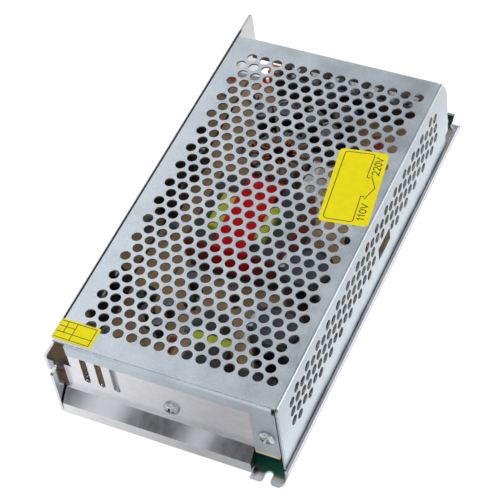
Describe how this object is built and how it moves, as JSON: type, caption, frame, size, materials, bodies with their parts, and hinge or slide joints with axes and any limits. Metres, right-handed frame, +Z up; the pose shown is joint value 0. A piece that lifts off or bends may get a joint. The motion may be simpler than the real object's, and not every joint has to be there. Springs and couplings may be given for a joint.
{
  "type": "mesh case switching power supply",
  "caption": "Enclosed power supply: bent aluminium chassis with a stepped end wall, perforated steel cover, screw terminals at one end and two yellow labels.",
  "frame": {"origin": "centre of the underside of the chassis floor", "axes": "X across the case towards the perforated side wall, Y along the case towards the screw terminals, Z up"},
  "size_m": [0.0996, 0.2018, 0.0421],
  "materials": {
    "aluminium": "rolled, bright",
    "black_plastic": "moulded satin",
    "black_sleeve": "shrink sleeve",
    "blue_epoxy": "dipped epoxy",
    "board_tan": "satin phenolic laminate",
    "brass": "turned",
    "can_grey": "dull",
    "can_silver": "satin",
    "dark_red_tape": "polyester tape",
    "enamel_copper": "enamelled wire",
    "ferrite": "fired matt",
    "galvanised": "galvanised, fine spangle",
    "glass_tube": "clear",
    "lime_tape": "polyester tape",
    "orange_plastic": "moulded gloss",
    "red_brown_epoxy": "dipped epoxy",
    "red_lens": "clear red resin",
    "red_plastic": "moulded gloss",
    "red_tape": "polyester tape",
    "resistor_blue": "lacquer",
    "teal_coating": "epoxy coating",
    "tin": "tin plated",
    "white_box": "moulded",
    "white_plastic": "moulded gloss",
    "yellow_label": "satin printed sticker",
    "zinc_screw": "bright zinc plating"
  },
  "bodies": {
    "supply": {"chassis": "aluminium", "mesh_cover": "galvanised", "flap_screw": "zinc_screw", "wall_screw": "zinc_screw", "voltage_label": "yellow_label", "date_label": "yellow_label", "board": "board_tan", "board_spacers": "brass", "board_screws": "zinc_screw", "terminal_block": "black_plastic", "terminal_plates": "tin", "terminal_screws": "zinc_screw", "trimmer_body": "orange_plastic", "status_led": "red_lens", "selector_body": "black_plastic", "transformer_core": "ferrite", "transformer_base": "black_plastic", "transformer_winding": "lime_tape", "transformer_band": "dark_red_tape", "transformer_strap": "red_tape", "toroid_core": "teal_coating", "toroid_winding": "enamel_copper", "bulk_sleeves": "black_sleeve", "bulk_tops": "can_grey", "output_sleeves": "black_sleeve", "output_tops": "can_silver", "small_sleeves": "black_sleeve", "small_tops": "can_silver", "line_choke": "ferrite", "choke_tape": "lime_tape", "line_capacitor": "black_plastic", "disc_capacitors": "blue_epoxy", "film_capacitors": "red_brown_epoxy", "snubber_capacitor": "white_box", "rectifiers": "black_plastic", "rectifier_screws": "zinc_screw", "switch_transistors": "black_plastic", "transistor_screws": "zinc_screw", "bridge_rectifier": "black_plastic", "heat_plate": "can_silver", "driver_transformer": "ferrite", "control_chip": "black_plastic", "resistors": "resistor_blue", "thermistor": "black_plastic", "fuse_tube": "glass_tube", "fuse_clips": "tin", "jumper_wires": "tin"},
    "selector": {"selector_slider": "red_plastic"},
    "trimmer": {"trimmer_rotor": "white_plastic"}
  },
  "joints": [
    {"name": "selector_slide", "type": "slide", "parent": "supply", "child": "selector", "axis": [0, 1, 0], "range_m": [0, 0.0046]},
    {"name": "trimmer_turn", "type": "hinge", "parent": "supply", "child": "trimmer", "pos_m": [-0.036, 0.09565, 0.014], "axis": [0, 1, 0], "range_deg": [-135, 135]}
  ]
}
